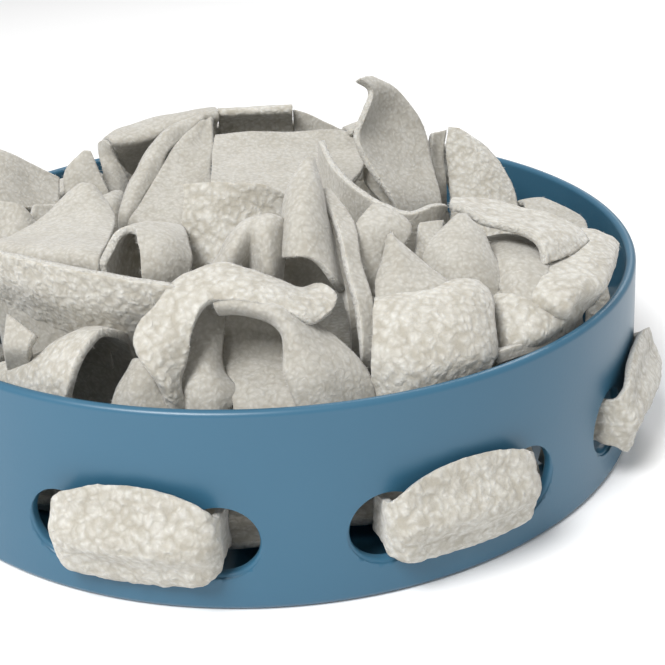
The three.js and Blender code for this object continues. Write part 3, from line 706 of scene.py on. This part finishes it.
# Each strip of the heap is rows of STRIP_COLUMNS, or a net: rows of points over the sheet.
# Its first rows are its free end, and its last ones stand hidden in the heap.
HEAP = {
    "front_left_arch": (
        ((-87, -86, 33), (-75, -99, 36), (-65, -109, 39), (-58, -115, 41)),
        ((-89, -89, 55), (-77, -102, 58), (-67, -112, 61), (-60, -118, 63)),
        ((-89, -88, 56), (-76, -101, 61), (-66, -111, 66), (-58, -118, 69)),
        ((-90, -84, 55), (-76, -97, 63), (-64, -107, 70), (-56, -115, 73)),
        ((-89, -81, 55), (-74, -92, 63), (-62, -102, 73), (-53, -111, 76)),
        ((-88, -78, 54), (-72, -87, 62), (-58, -96, 73), (-50, -106, 77)),
        ((-86, -76, 53), (-69, -83, 60), (-54, -91, 71), (-46, -100, 73)),
        ((-84, -74, 49), (-67, -80, 56), (-52, -87, 65), (-44, -94, 68)),
        ((-82, -70, 29), (-65, -76, 36), (-50, -83, 45), (-42, -90, 48)),
        ((-82, -70, 9), (-65, -76, 16), (-50, -83, 25), (-42, -90, 28)),
    ),
    "front_twist": (
        ((10, -97, 83), (16, -100, 86), (20, -105, 84), (18, -111, 82)),
        ((8, -98, 84), (12, -103, 85), (15, -109, 84), (12, -117, 81)),
        ((5, -99, 86), (7, -106, 86), (10, -112, 85), (10, -118, 83)),
        ((-2, -98, 89), (0, -106, 89), (1, -112, 88), (1, -116, 86)),
        ((-8, -97, 91), (-7, -105, 91), (-6, -111, 90), (-6, -115, 88)),
        ((-14, -97, 93), (-14, -104, 92), (-14, -109, 91), (-12, -113, 88)),
        ((-20, -98, 92), (-20, -105, 91), (-19, -110, 90), (-17, -113, 88)),
        ((-27, -103, 91), (-26, -109, 89), (-23, -113, 87), (-20, -115, 86)),
        ((-32, -109, 87), (-31, -113, 84), (-27, -116, 82), (-23, -117, 80)),
        ((-38, -114, 82), (-35, -118, 79), (-31, -120, 77), (-25, -119, 73)),
        ((-39, -117, 78), (-36, -121, 75), (-32, -122, 72), (-27, -120, 68)),
        ((-35, -120, 72), (-33, -123, 70), (-30, -124, 68), (-28, -121, 64)),
        ((-32, -122, 66), (-30, -124, 65), (-29, -124, 63), (-27, -121, 60)),
        ((-30, -119, 50), (-28, -121, 49), (-27, -121, 47), (-25, -118, 44)),
    ),
    "front_corner": (
        ((-41, -110, 69), (-40, -111, 70), (-39, -112, 70)),
        ((-43, -112, 66), (-39, -117, 68), (-35, -118, 68)),
        ((-46, -114, 62), (-40, -121, 64), (-33, -120, 63)),
        ((-48, -116, 57), (-39, -123, 59), (-30, -122, 58)),
        ((-48, -113, 35), (-39, -120, 37), (-30, -119, 36)),
        ((-48, -110, 13), (-39, -117, 15), (-30, -116, 14)),
    ),
    "front_roll": (
        ((-17, -98, 81), (-17, -106, 85), (-16, -113, 87), (-15, -110, 83)),
        ((-10, -98, 81), (-10, -107, 86), (-10, -115, 88), (-9, -112, 84)),
        ((-4, -98, 80), (-3, -108, 85), (-3, -117, 87), (-2, -114, 83)),
        ((5, -100, 79), (5, -110, 83), (2, -119, 86), (2, -116, 81)),
        ((12, -106, 76), (10, -115, 80), (5, -121, 82), (4, -119, 79)),
        ((19, -112, 73), (14, -119, 75), (7, -124, 77), (4, -122, 75)),
        ((24, -116, 69), (18, -122, 71), (10, -127, 72), (3, -125, 71)),
        ((28, -120, 64), (21, -125, 65), (12, -129, 67), (4, -128, 67)),
        ((29, -123, 57), (21, -128, 59), (13, -131, 61), (6, -131, 61)),
        ((29, -122, 37), (21, -127, 39), (13, -130, 41), (6, -130, 41)),
    ),
    "front_inner": (
        ((-16, -98, 78), (-9, -98, 78), (-3, -98, 76), (5, -100, 73)),
        ((-16, -97, 71), (-10, -97, 71), (-2, -98, 70), (6, -102, 68)),
        ((-17, -100, 66), (-10, -101, 65), (-1, -103, 64), (7, -108, 64)),
        ((-16, -108, 63), (-9, -110, 63), (-1, -113, 63), (8, -117, 62)),
        ((-13, -117, 62), (-7, -119, 62), (0, -121, 61), (8, -124, 61)),
        ((-12, -124, 59), (-6, -126, 59), (1, -127, 58), (9, -128, 58)),
        ((-12, -120, 39), (-6, -122, 39), (1, -123, 38), (9, -124, 38)),
    ),
    "front_shaded": (
        ((-24, -96, 79), (-21, -98, 81), (-17, -98, 81), (-14, -98, 80)),
        ((-26, -100, 74), (-22, -104, 76), (-18, -105, 76), (-15, -103, 74)),
        ((-28, -105, 69), (-23, -110, 71), (-19, -111, 71), (-16, -108, 69)),
        ((-30, -110, 65), (-23, -116, 68), (-19, -117, 68), (-15, -113, 64)),
        ((-31, -114, 61), (-23, -121, 64), (-17, -122, 64), (-11, -119, 61)),
        ((-30, -118, 56), (-23, -124, 59), (-18, -125, 59), (-14, -122, 57)),
        ((-30, -114, 36), (-23, -120, 39), (-18, -121, 39), (-14, -118, 37)),
    ),
    "front_square": (
        ((33, -98, 80), (41, -98, 81), (49, -97, 81), (57, -95, 82), (64, -93, 81), (68, -93, 78)),
        ((31, -107, 81), (39, -108, 82), (48, -107, 82), (57, -105, 82), (63, -103, 81), (68, -100, 77)),
        ((30, -115, 75), (38, -118, 77), (47, -118, 77), (56, -116, 77), (63, -112, 75), (67, -108, 73)),
        ((29, -120, 68), (37, -124, 70), (46, -124, 70), (55, -121, 70), (62, -118, 69), (67, -113, 66)),
        ((29, -121, 59), (37, -126, 62), (45, -125, 63), (53, -122, 64), (61, -118, 63), (65, -116, 64)),
        ((29, -119, 41), (37, -124, 44), (45, -123, 45), (53, -120, 46), (61, -116, 45), (65, -114, 46)),
    ),
    "front_peak": (
        ((39, -80, 93), (39, -81, 93), (39, -81, 94), (39, -81, 93), (40, -81, 92)),
        ((36, -88, 87), (38, -90, 88), (41, -91, 89), (44, -90, 88), (47, -87, 87)),
        ((33, -95, 83), (37, -97, 84), (42, -98, 84), (47, -96, 84), (53, -92, 83)),
        ((32, -102, 81), (37, -103, 81), (43, -102, 81), (49, -100, 82), (56, -96, 81)),
        ((32, -102, 61), (37, -103, 61), (43, -102, 61), (49, -100, 62), (56, -96, 61)),
    ),
    "left_band": (
        ((-88, -73, 93), (-72, -86, 94), (-57, -96, 94), (-42, -103, 93), (-27, -106, 91)),
        ((-88, -72, 84), (-72, -85, 85), (-57, -95, 85), (-42, -102, 84), (-27, -105, 82)),
        ((-88, -67, 74), (-72, -80, 75), (-57, -90, 75), (-42, -97, 74), (-27, -100, 72)),
        ((-88, -61, 63), (-72, -74, 64), (-57, -84, 64), (-42, -91, 63), (-27, -94, 61)),
        ((-88, -55, 51), (-72, -68, 52), (-57, -78, 52), (-42, -85, 51), (-27, -88, 49)),
    ),
    "left_tab": (
        (-76, -93, 75, 16, -51, -6),
        (-77, -98, 71, 10, -33, 3),
        (-79, -91, 54, 9, -20),
        (-80, -88, 4, 9, -20),
    ),
    "left_leaf": (
        ((-69, -22, 93), (-65, -24, 96), (-63, -25, 97), (-60, -26, 96), (-58, -27, 93)),
        ((-76, -38, 90), (-70, -38, 91), (-63, -38, 92), (-57, -39, 92), (-52, -40, 90)),
        ((-84, -54, 89), (-74, -57, 90), (-64, -60, 91), (-56, -62, 91), (-51, -64, 90)),
        ((-90, -68, 90), (-76, -77, 91), (-64, -84, 92), (-56, -88, 93), (-51, -90, 92)),
        ((-90, -66, 78), (-76, -75, 79), (-64, -82, 80), (-56, -86, 81), (-51, -88, 80)),
        ((-90, -64, 53), (-76, -73, 54), (-64, -80, 55), (-56, -84, 56), (-51, -86, 55)),
    ),
    "left_tunnel": (
        ((-50, -88, 73), (-45, -72, 69), (-39, -60, 66), (-32, -51, 63)),
        ((-50, -90, 93), (-45, -74, 89), (-39, -62, 86), (-32, -53, 83)),
        ((-48, -87, 96), (-44, -72, 94), (-37, -61, 91), (-31, -54, 88)),
        ((-46, -84, 99), (-42, -72, 97), (-36, -63, 94), (-29, -57, 91)),
        ((-43, -81, 100), (-38, -75, 99), (-33, -68, 96), (-27, -62, 92)),
        ((-40, -82, 100), (-36, -79, 99), (-31, -75, 97), (-26, -70, 93)),
        ((-39, -87, 98), (-34, -86, 98), (-29, -83, 96), (-25, -78, 92)),
        ((-38, -91, 95), (-33, -91, 95), (-28, -88, 93), (-24, -84, 90)),
        ((-38, -94, 91), (-33, -94, 91), (-29, -92, 89), (-25, -88, 86)),
        ((-38, -90, 71), (-33, -90, 71), (-29, -88, 69), (-25, -84, 66)),
    ),
    "left_curl": (
        (-57, 12, 79, 7, -18, -31, 3),
        (-59, -2, 79, 10, 0, -28, 3),
        (-58, -5, 64, 6, 0),
        (-58, -6, 4, 6, 0),
    ),
    "left_peak": (
        (-69, 28, 94, 2, 0, -3),
        (-71, 22, 88, 12, 0, -3, 2),
        (-69, 14, 81, 17, 5),
        (-69, 14, 4, 14, 5),
    ),
    "left_side": (
        (-79, 8, 83, 18, -85, -26),
        (-88, 4, 88, 23, -85, -29),
        (-98, 0, 93, 28, -84, -31, 2),
        (-116, -5, 95, 34, -92, -27),
        (-114, -6, 4, 14, -80),
    ),
    "left_tuck": (
        (-86, -17, 82, 13, 79, 38),
        (-76, -11, 80, 12, 93, 34),
        (-76, -11, 4, 12, 93),
    ),
    "left_edge": (
        (-105, -24, 87, 17, 89, 47),
        (-93, -28, 83, 22, 91, 43),
        (-86, -28, 83, 17, 95, 44, 1),
        (-81, -26, 80, 5, 121, 28),
        (-81, -26, 4, 5, 121),
    ),
    "back_arch": (
        ((-66, 50, 91), (-63, 42, 95), (-60, 33, 96), (-59, 36, 94), (-59, 42, 86)),
        ((-60, 54, 93), (-59, 45, 97), (-55, 33, 96), (-56, 37, 92), (-57, 44, 83)),
        ((-54, 56, 95), (-53, 47, 98), (-49, 34, 96), (-51, 39, 92), (-55, 46, 79)),
        ((-46, 58, 96), (-45, 49, 100), (-42, 36, 97), (-45, 42, 92), (-49, 49, 81)),
        ((-36, 60, 97), (-35, 51, 101), (-32, 39, 100), (-35, 46, 96), (-38, 52, 86)),
        ((-25, 62, 98), (-24, 53, 102), (-22, 42, 102), (-24, 49, 98), (-26, 55, 89)),
        ((-18, 64, 98), (-18, 55, 102), (-17, 45, 101), (-18, 52, 97), (-19, 58, 89)),
    ),
    "back_ridge": (
        ((-26, 42, 102), (-24, 41, 103), (-22, 38, 103)),
        ((-37, 33, 100), (-35, 30, 100), (-32, 30, 96)),
        ((-44, 24, 95), (-41, 20, 96), (-37, 21, 94)),
        ((-49, 12, 89), (-45, 8, 91), (-41, 10, 87)),
        ((-52, 2, 85), (-49, -2, 85), (-46, 0, 83)),
        ((-54, -8, 80), (-51, -10, 80), (-49, -8, 77)),
        ((-54, -6, 55), (-51, -8, 55), (-49, -6, 52)),
    ),
    "back_slope": (
        ((-26, 36, 100), (-23, 37, 102), (-21, 38, 102), (-19, 38, 103)),
        ((-34, 26, 95), (-29, 27, 95), (-24, 28, 94), (-19, 28, 94)),
        ((-39, 14, 90), (-32, 15, 89), (-26, 16, 89), (-20, 16, 89)),
        ((-44, 0, 85), (-36, 1, 84), (-28, 2, 84), (-20, 2, 83)),
        ((-47, -10, 82), (-41, -12, 81), (-31, -14, 80), (-22, -14, 79)),
        ((-50, -18, 80), (-42, -20, 78), (-33, -22, 78), (-24, -22, 77)),
        ((-50, -16, 55), (-42, -18, 53), (-33, -20, 53), (-24, -20, 52)),
    ),
    "back_panel": (
        ((-18, 28, 98), (-4, 30, 98), (12, 32, 96), (29, 34, 96), (44, 34, 93)),
        ((-19, 18, 95), (-4, 20, 94), (12, 22, 93), (28, 24, 91), (43, 24, 90)),
        ((-19, 2, 93), (-5, 2, 92), (11, 4, 91), (24, 6, 89), (39, 8, 87)),
        ((-19, -14, 92), (-5, -16, 91), (10, -18, 89), (21, -16, 87), (32, -12, 87)),
        ((-18, -34, 88), (-5, -36, 88), (9, -40, 86), (20, -36, 85), (31, -30, 84)),
        ((-18, -32, 58), (-5, -34, 58), (9, -38, 56), (20, -34, 55), (31, -28, 54)),
    ),
    "back_roll": (
        ((-17, 70, 97), (-17, 60, 100), (-17, 48, 102), (-17, 55, 97), (-17, 58, 91)),
        ((-4, 70, 96), (-4, 60, 100), (-4, 48, 102), (-4, 55, 97), (-4, 58, 90)),
        ((7, 70, 96), (7, 60, 100), (7, 48, 102), (7, 55, 97), (6, 58, 89)),
        ((14, 70, 96), (14, 60, 100), (14, 48, 102), (14, 55, 96), (14, 58, 89)),
    ),
    "back_corner": (
        ((15, 60, 99), (20, 61, 97), (27, 62, 93), (36, 63, 88)),
        ((15, 56, 89), (20, 57, 87), (27, 58, 83), (36, 59, 78)),
        ((15, 53, 73), (20, 54, 71), (27, 55, 67), (36, 56, 62)),
        ((15, 53, 53), (20, 54, 51), (27, 55, 47), (36, 56, 42)),
    ),
    "tall_curl": (
        (41, 16, 121, 10, 54, -7),
        (49, 19, 115, 15, 41, -8),
        (51, 16, 107, 28, 35, -10, -4),
        (51, 13, 100, 35, 32, -9, -4),
        (53, 8, 91, 33, 30, -12, -2),
        (59, -2, 77, 23, 31, -9),
        (62, -3, 60, 16, 25),
        (60, -4, 4, 14, 25),
    ),
    "right_leaf": (
        (81, 44, 92, 4, 0, -8),
        (86, 40, 84, 18, 13, -6, 3),
        (90, 30, 73, 27, 9, -9, 4),
        (90, 18, 64, 29, 8, -6, 3),
        (88, 4, 56, 30, 4, 0, 2),
        (87, -6, 44, 20, 0),
        (87, -6, 4, 14, 0),
    ),
    "right_fold": (
        (75, 44, 91, 7, 24, 1),
        (73, 37, 83, 8, 31, -5, -2),
        (73, 28, 75, 5, 26),
        (73, 28, 4, 5, 26),
    ),
    "middle_slant": (
        (43, 24, 90, 2, 0, -3),
        (50, 12, 81, 19, 0),
        (52, 3, 72, 9, 0, -3),
        (38, -12, 68, 18, 0, 0, 2),
        (38, -28, 64, 18, 0, 0, 2),
        (38, -34, 4, 12, 0),
    ),
    "middle_wave": (
        (22, -8, 93, 23, 0, 88),
        (25, -22, 86, 27, 0, 88),
        (29, -36, 84, 28, 0, 89),
        (41, -51, 81, 25, -92, 85),
        (49, -57, 83, 19, -100, 84),
        (56, -56, 86, 16, 0, 88),
        (62, -51, 86, 13, -105, 81),
        (62, -51, 4, 13, -105),
    ),
    "middle_spike": (
        ((14, -62, 113), (12, -66, 111), (8, -72, 106), (6, -79, 100), (5, -84, 94), (5, -87, 90)),
        ((15, -63, 114), (13, -68, 112), (10, -77, 108), (9, -86, 103), (8, -91, 97), (8, -94, 93)),
        ((15, -63, 114), (14, -69, 112), (13, -79, 109), (12, -88, 104), (12, -94, 98), (12, -97, 94)),
        ((15, -63, 114), (15, -69, 112), (16, -78, 108), (16, -86, 102), (16, -92, 96), (16, -97, 91)),
        ((16, -62, 114), (16, -67, 111), (17, -74, 107), (18, -81, 100), (19, -87, 93), (20, -97, 85)),
        ((16, -62, 113), (17, -66, 110), (18, -71, 105), (19, -77, 98), (21, -82, 90), (23, -91, 79)),
    ),
    "middle_spine": (
        (20, -65, 104, 3, 1, -3),
        (25, -82, 97, 7, 37, -9),
        (26, -95, 90, 6, 41, -8),
        (28, -106, 81, 6, 33, -11),
        (28, -113, 71, 4, 20, -13),
        (29, -103, 46, 7, 0),
        (29, -99, 4, 6, 0),
    ),
    "middle_crease": (
        (20, -65, 100, 2, 32, 3),
        (21, -79, 93, 4, 42, -6),
        (24, -90, 82, 3, 43, -7),
        (25, -98, 73, 2, 21, 3),
        (28, -91, 52, 5, 0),
        (29, -89, 4, 5, 0),
    ),
    "middle_panel": (
        ((-26, -52, 104), (-17, -54, 105), (-9, -56, 105), (0, -56, 104), (7, -55, 100)),
        ((-26, -55, 100), (-18, -57, 100), (-9, -59, 100), (-1, -59, 98), (7, -58, 96)),
        ((-27, -59, 94), (-19, -61, 94), (-10, -63, 93), (-2, -63, 92), (6, -62, 89)),
        ((-26, -63, 87), (-20, -65, 87), (-13, -68, 87), (-5, -68, 86), (4, -66, 83)),
        ((-25, -68, 81), (-20, -70, 81), (-15, -73, 81), (-8, -73, 80), (3, -72, 78)),
        ((-25, -66, 56), (-20, -68, 56), (-15, -71, 56), (-8, -71, 55), (3, -70, 53)),
    ),
    "middle_bend": (
        ((-7, -80, 99), (-4, -81, 101), (-1, -82, 102), (2, -82, 102), (5, -82, 101)),
        ((-11, -84, 96), (-8, -88, 99), (-4, -87, 99), (1, -89, 101), (5, -84, 98)),
        ((-14, -87, 92), (-10, -92, 96), (-5, -87, 93), (0, -93, 95), (5, -86, 92)),
        ((-17, -89, 89), (-12, -94, 91), (-6, -86, 87), (0, -95, 89), (4, -88, 85)),
        ((-17, -86, 73), (-12, -91, 75), (-6, -83, 71), (0, -92, 73), (4, -85, 69)),
        ((-17, -84, 53), (-12, -89, 55), (-6, -81, 51), (0, -90, 53), (4, -83, 49)),
    ),
    "middle_point": (
        (36, -68, 99, 2, 6, -5),
        (37, -77, 94, 19, 14, -4, 2),
        (34, -84, 87, 13, 14, -3),
        (32, -88, 80, 7, 25, 2),
        (36, -86, 66, 10, 24),
        (37, -84, 4, 9, 24),
    ),
    "middle_low": (
        (55, -61, 89, 10, 26, -6),
        (52, -74, 84, 10, 27, -3),
        (52, -68, 4, 8, 27),
    ),
    "right_peak": (
        ((64, -62, 91), (65, -63, 92), (65, -63, 92), (66, -63, 92), (67, -62, 90)),
        ((57, -68, 87), (60, -70, 89), (64, -71, 89), (67, -70, 89), (71, -68, 87)),
        ((50, -74, 83), (56, -78, 86), (62, -80, 86), (68, -78, 85), (73, -74, 82)),
        ((52, -80, 81), (57, -84, 82), (62, -86, 82), (69, -84, 81), (75, -78, 78)),
        ((56, -86, 78), (60, -89, 78), (64, -90, 77), (70, -88, 75), (77, -82, 73)),
        ((56, -82, 62), (60, -85, 62), (64, -86, 61), (70, -84, 59), (77, -78, 57)),
        ((56, -79, 40), (60, -82, 40), (64, -83, 39), (70, -81, 37), (77, -75, 35)),
    ),
    "right_roof": (
        ((65, -44, 91), (63, -52, 92), (63, -59, 94)),
        ((74, -42, 90), (70, -52, 91), (67, -61, 93)),
        ((83, -42, 88), (77, -54, 89), (72, -64, 90)),
        ((90, -43, 86), (84, -56, 88), (78, -67, 89)),
        ((98, -46, 85), (91, -58, 87), (84, -70, 88)),
        ((104, -50, 83), (97, -62, 85), (88, -73, 86)),
        ((108, -54, 81), (100, -66, 83), (89, -77, 84)),
        ((110, -58, 78), (101, -70, 79), (89, -80, 80)),
    ),
    "right_back": (
        (98, 58, 44, 26, 26),
        (106, 42, 52, 24, 20, 0, 2),
        (112, 23, 65, 10, 10, -4),
        (117, 11, 62, 24, 5, -6),
        (117, -2, 57, 23, 10, -4),
        (112, -4, 4, 14, 9),
    ),
    "right_panel": (
        ((100, -50, 77), (107, -48, 78), (113, -46, 78), (120, -48, 76), (124, -49, 73)),
        ((95, -60, 76), (102, -60, 77), (110, -60, 78), (117, -60, 76), (121, -56, 72)),
        ((85, -72, 76), (92, -76, 78), (100, -78, 78), (110, -76, 76), (117, -64, 70)),
        ((77, -82, 74), (84, -90, 77), (92, -94, 78), (103, -90, 75), (110, -75, 68)),
        ((81, -88, 71), (84, -97, 74), (91, -101, 75), (95, -93, 72), (104, -83, 66)),
        ((89, -90, 68), (91, -97, 69), (91, -97, 69), (94, -94, 68), (100, -88, 66)),
        ((89, -87, 48), (91, -94, 49), (91, -94, 49), (94, -91, 48), (100, -85, 46)),
    ),
    "right_pad": (
        ((70, -84, 72), (76, -86, 74), (84, -84, 74), (91, -80, 67)),
        ((69, -92, 72), (75, -94, 75), (83, -92, 74), (91, -87, 68)),
        ((69, -98, 67), (74, -102, 70), (83, -101, 71), (93, -95, 67)),
        ((69, -101, 60), (74, -107, 66), (82, -105, 67), (91, -97, 67)),
        ((69, -96, 51), (74, -102, 57), (82, -100, 58), (91, -92, 58)),
        ((69, -93, 31), (74, -99, 37), (82, -97, 38), (91, -89, 38)),
    ),
    "right_rim": (
        (67, -112, 64, 4, 152, 83),
        (83, -103, 64, 4, 88, 75),
        (101, -84, 62, 4, 107, 67),
        (94, -80, 4, 5, 120),
    ),
    "right_low": (
        ((76, -48, 77), (83, -48, 78), (90, -48, 77), (98, -48, 75)),
        ((74, -62, 78), (80, -62, 81), (86, -62, 80), (94, -64, 78)),
        ((74, -74, 79), (78, -76, 81), (84, -76, 81), (91, -78, 79)),
        ((74, -82, 76), (78, -86, 79), (82, -87, 79), (89, -88, 77)),
        ((74, -90, 74), (77, -93, 75), (82, -94, 75), (89, -94, 74)),
        ((74, -88, 49), (77, -91, 50), (82, -92, 50), (89, -92, 49)),
    ),
    "rear_1": (
        (-40, 60, 88, 46, 168, 0, 3),
        (-46, 82, 82, 48, 165, 0, 4),
        (-52, 103, 72, 42, 160, 0, 3),
        (-54, 112, 54, 28, 158),
        (-52, 108, 4, 16, 158),
    ),
    "rear_2": (
        (-2, 64, 90, 36, 180, 0, 3),
        (-2, 88, 84, 46, 183, 0, 4),
        (-2, 112, 72, 42, 180, 0, 3),
        (-2, 121, 54, 26, 180),
        (-2, 118, 4, 16, 180),
    ),
    "rear_3": (
        (44, 82, 80, 34, 192, 0, 3),
        (51, 94, 75, 48, 198, 0, 4),
        (57, 102, 65, 44, 204, 0, 3),
        (58, 105, 48, 24, 204),
        (55, 101, 4, 16, 204),
    ),
    "rear_4": (
        (70, 50, 80, 26, 222, 0, 3),
        (83, 63, 74, 36, 224, 0, 4),
        (93, 74, 63, 28, 223, 0, 3),
        (94, 76, 48, 18, 222),
        (92, 76, 4, 16, 222),
    ),
    "side_1": (
        (-92, 26, 76, 26, -95, 0, 2),
        (-108, 30, 73, 36, -102, 0, 3),
        (-122, 35, 62, 36, -106, 0, 3),
        (-125, 37, 46, 22, -107),
        (-121, 36, 4, 14, -107),
    ),
    "side_2": (
        (-74, 44, 74, 30, -128, 0, 3),
        (-88, 60, 69, 40, -128, 0, 3),
        (-100, 74, 58, 36, -130, 0, 3),
        (-103, 77, 44, 22, -132),
        (-99, 74, 4, 14, -132),
    ),
    "crest": (
        (51, 30, 96, 30, 180, 0, 3),
        (51, 46, 93, 32, 180, 0, 3),
        (51, 60, 80, 28, 185, 0, 3),
        (49, 62, 60, 16, 185),
        (49, 62, 4, 14, 185),
    ),
    "back_arch_side": (
        ((-66, 46, 92), (-63, 41, 95), (-60, 35, 95)),
        ((-66, 42, 89), (-63, 39, 90), (-59, 37, 89)),
        ((-65, 36, 85), (-61, 35, 85), (-57, 36, 83)),
        ((-64, 29, 82), (-59, 29, 81), (-55, 33, 77)),
        ((-62, 20, 79), (-58, 22, 77), (-55, 28, 74)),
        ((-62, 20, 59), (-58, 22, 57), (-55, 28, 54)),
    ),
}


def make_strip(name):
    shape = HEAP[name]
    if isinstance(shape[0][0], tuple):
        grid, length, width = net_grid(shape, STEP * MM, RUFFLE)
    else:
        cells = max(4, round(max(row[3] for row in shape) / STEP))
        grid, length, width = sheet_grid(shape, STRIP_COLUMNS, STEP * MM, cells, ROOT_STEP * MM, RUFFLE)
    piece = fleece_piece(f"fleece_{name}", grid, name in CURLY_UP)
    if name not in SHOWN_ALONE:
        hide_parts(f"strip_{name}")


for name in HEAP:
    make_strip(name)


# Strips that lie flat on the bowl's floor, under the heap


def make_under_strip(index):
    side = UNDER_PITCH * (index - (UNDER_COUNT - 1) / 2)
    reach = math.sqrt(UNDER_REACH ** 2 - (abs(side) + UNDER_WIDTH / 2) ** 2) - 2
    rows = []
    for part in (-1, -0.6, -0.2, 0.2, 0.6, 1):
        height = UNDER_HEIGHT + UNDER_WAVE * math.sin(index * 2 + part * 5)
        rows.append((side, reach * part, height, UNDER_WIDTH, 180, 0))
    grid, length, width = sheet_grid(rows, STRIP_COLUMNS, UNDER_STEP * MM, UNDER_CELLS, None, RUFFLE)
    fleece_piece(f"fleece_under_{index + 1}", grid, True)


for index in range(UNDER_COUNT):
    make_under_strip(index)


# Loose fibres along the cut edges


def make_fringe():
    piece = piece_of(fringe, "fleece_fringe")
    piece.data.materials.append(cut_edge)
    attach(piece, "root")


make_fringe()


# Floor, light and camera


def make_floor():
    shape = bmesh.new()
    bmesh.ops.create_grid(shape, x_segments=1, y_segments=1, size=6)
    floor = piece_of(shape, "floor")
    material, shader = finish_of("pale floor", 0.9, Specular_IOR_Level=0.1)
    shader.inputs["Base Color"].default_value = FLOOR_COLOUR
    floor.data.materials.append(material)


def soft_light(name, place, size, watts):
    data = bpy.data.lights.new(name, "AREA")
    data.shape = "DISK"
    data.size = size
    data.energy = watts
    light = bpy.data.objects.new(name, data)
    bpy.context.scene.collection.objects.link(light)
    light.location = place
    aim = Vector(LIGHT_TARGET) - Vector(place)
    light.rotation_euler = aim.to_track_quat("-Z", "Y").to_euler()


make_floor()
soft_light("key", (-0.55, -0.75, 1.25), 0.7, 24)
soft_light("back", (0.5, 0.9, 1.0), 0.8, 6)

scene = bpy.context.scene
scene.view_settings.view_transform = "Standard"
world = bpy.data.worlds.new("studio")
scene.world = world
world.use_nodes = True
world.node_tree.nodes["Background"].inputs["Color"].default_value = WHITE
world.node_tree.nodes["Background"].inputs["Strength"].default_value = WORLD_STRENGTH

camera_data = bpy.data.cameras.new("camera")
camera_data.lens = LENS
camera_data.sensor_width = SENSOR
camera_data.clip_start = 0.01
camera = bpy.data.objects.new("camera", camera_data)
scene.collection.objects.link(camera)
right = Vector(CAMERA_RIGHT)
forward = Vector(CAMERA_FORWARD)
upward = right.cross(forward).normalized()
facing = Matrix((right, upward, -forward)).transposed().to_4x4()
camera.matrix_world = Matrix.Translation(CAMERA_PLACE) @ facing
scene.camera = camera
